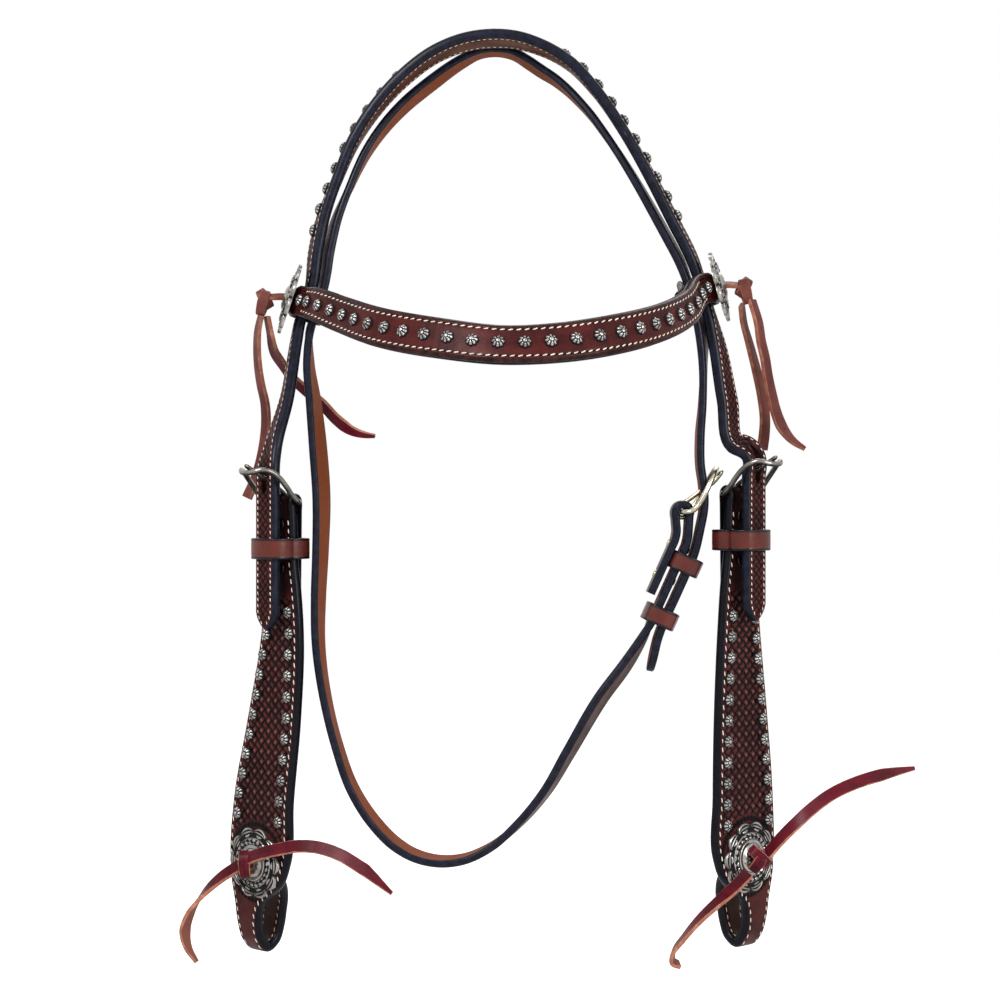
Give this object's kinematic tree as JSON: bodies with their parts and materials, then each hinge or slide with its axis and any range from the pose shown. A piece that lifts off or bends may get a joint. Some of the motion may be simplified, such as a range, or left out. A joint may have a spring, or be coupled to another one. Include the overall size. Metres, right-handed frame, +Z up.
{
  "type": "western headstall",
  "caption": "Western bridle headstall: arched crown with billets, curved studded browband, tapered tooled cheeks with conchos, tie strings and bit loops, and a buckled throat strap.",
  "frame": {"origin": "poll seat: the inner face of the throat strap where it lies over the horse's poll, midway between the two sides", "axes": "+Z up from the bit loops towards the poll, +X towards the headstall's side with the throat buckle (the picture's right), -Y towards the browband's front"},
  "size_m": [0.3896, 0.1581, 0.4952],
  "materials": {
    "strap_leather": "tooled mahogany-brown leather, satin, edges burnished black",
    "lining_leather": "smooth near-black leather lining",
    "keeper_leather": "glossy red-brown leather",
    "thong_leather": "burgundy latigo, tan cut edges",
    "antique_nickel": "antiqued nickel, dark in the recesses",
    "antique_brass": "antiqued brass, dull"
  },
  "bodies": {
    "straps": {"band_tail_left_inner": "thong_leather", "band_tail_left_outer": "thong_leather", "band_tail_right_inner": "thong_leather", "band_tail_right_outer": "thong_leather", "browband_concho_left": "antique_nickel", "browband_concho_right": "antique_nickel", "browband_lining": "lining_leather", "browband_outer": "strap_leather", "browband_spots": "antique_nickel", "browband_tie_left": "thong_leather", "browband_tie_right": "thong_leather", "cheek_concho_left": "antique_nickel", "cheek_concho_right": "antique_nickel", "cheek_lining_left": "lining_leather", "cheek_lining_right": "lining_leather", "cheek_outer_left": "strap_leather", "cheek_outer_right": "strap_leather", "cheek_screw_lower_left": "antique_nickel", "cheek_screw_lower_right": "antique_nickel", "cheek_screw_upper_left": "antique_nickel", "cheek_screw_upper_right": "antique_nickel", "cheek_spots_front_left": "antique_nickel", "cheek_spots_front_right": "antique_nickel", "cheek_spots_rear_left": "antique_nickel", "cheek_spots_rear_right": "antique_nickel", "cheek_tail_left_front": "thong_leather", "cheek_tail_left_rear": "thong_leather", "cheek_tail_right_front": "thong_leather", "cheek_tail_right_rear": "thong_leather", "cheek_tie_left": "thong_leather", "cheek_tie_right": "thong_leather", "crown_lining": "lining_leather", "crown_outer": "strap_leather", "crown_spots_left": "antique_nickel", "crown_spots_right": "antique_nickel", "throat_keeper_upper": "keeper_leather", "throat_rivet_lower": "antique_brass", "throat_rivet_upper": "antique_brass", "throat_strap": "strap_leather"},
    "cheek_buckle_left": {"cheek_buckle_left": "antique_nickel"},
    "cheek_tongue_left": {"cheek_tongue_left": "antique_nickel"},
    "cheek_keeper_left": {"cheek_keeper_left": "keeper_leather"},
    "cheek_buckle_right": {"cheek_buckle_right": "antique_nickel"},
    "cheek_tongue_right": {"cheek_tongue_right": "antique_nickel"},
    "cheek_keeper_right": {"cheek_keeper_right": "keeper_leather"},
    "throat_buckle": {"throat_buckle": "antique_brass"},
    "throat_tongue": {"throat_tongue": "antique_brass"},
    "throat_keeper_lower": {"throat_keeper_lower": "keeper_leather"}
  },
  "joints": [
    {"name": "cheek_buckle_left_swing", "type": "hinge", "parent": "straps", "child": "cheek_buckle_left", "pos_m": [-0.11346, 0.00126, -0.2395], "axis": [-0.7431, 0.6691, 0], "range_deg": [-3, 3]},
    {"name": "cheek_tongue_left_lift", "type": "hinge", "parent": "cheek_buckle_left", "child": "cheek_tongue_left", "pos_m": [-0.11346, 0.00126, -0.2395], "axis": [-0.7431, 0.6691, 0], "range_deg": [0, 6]},
    {"name": "cheek_keeper_left_slide", "type": "slide", "parent": "straps", "child": "cheek_keeper_left", "axis": [0, 0, 1], "range_m": [-0.003, 0.01]},
    {"name": "cheek_buckle_right_swing", "type": "hinge", "parent": "straps", "child": "cheek_buckle_right", "pos_m": [0.12486, 0.00126, -0.235], "axis": [-0.7431, -0.6691, 0], "range_deg": [-3, 3]},
    {"name": "cheek_tongue_right_lift", "type": "hinge", "parent": "cheek_buckle_right", "child": "cheek_tongue_right", "pos_m": [0.12486, 0.00126, -0.235], "axis": [-0.7431, -0.6691, 0], "range_deg": [0, 6]},
    {"name": "cheek_keeper_right_slide", "type": "slide", "parent": "straps", "child": "cheek_keeper_right", "axis": [0, 0, 1], "range_m": [-0.003, 0.01]},
    {"name": "throat_buckle_swing", "type": "hinge", "parent": "straps", "child": "throat_buckle", "pos_m": [0.0961, -0.00029, -0.2448], "axis": [0, 1, 0], "range_deg": [-2, 2]},
    {"name": "throat_tongue_lift", "type": "hinge", "parent": "throat_buckle", "child": "throat_tongue", "pos_m": [0.0961, -0.00029, -0.2448], "axis": [0, 1, 0], "range_deg": [0, 5]},
    {"name": "throat_keeper_lower_slide", "type": "slide", "parent": "straps", "child": "throat_keeper_lower", "axis": [0.4115, 0, 0.9114], "range_m": [-0.0015, 0.0035]}
  ]
}
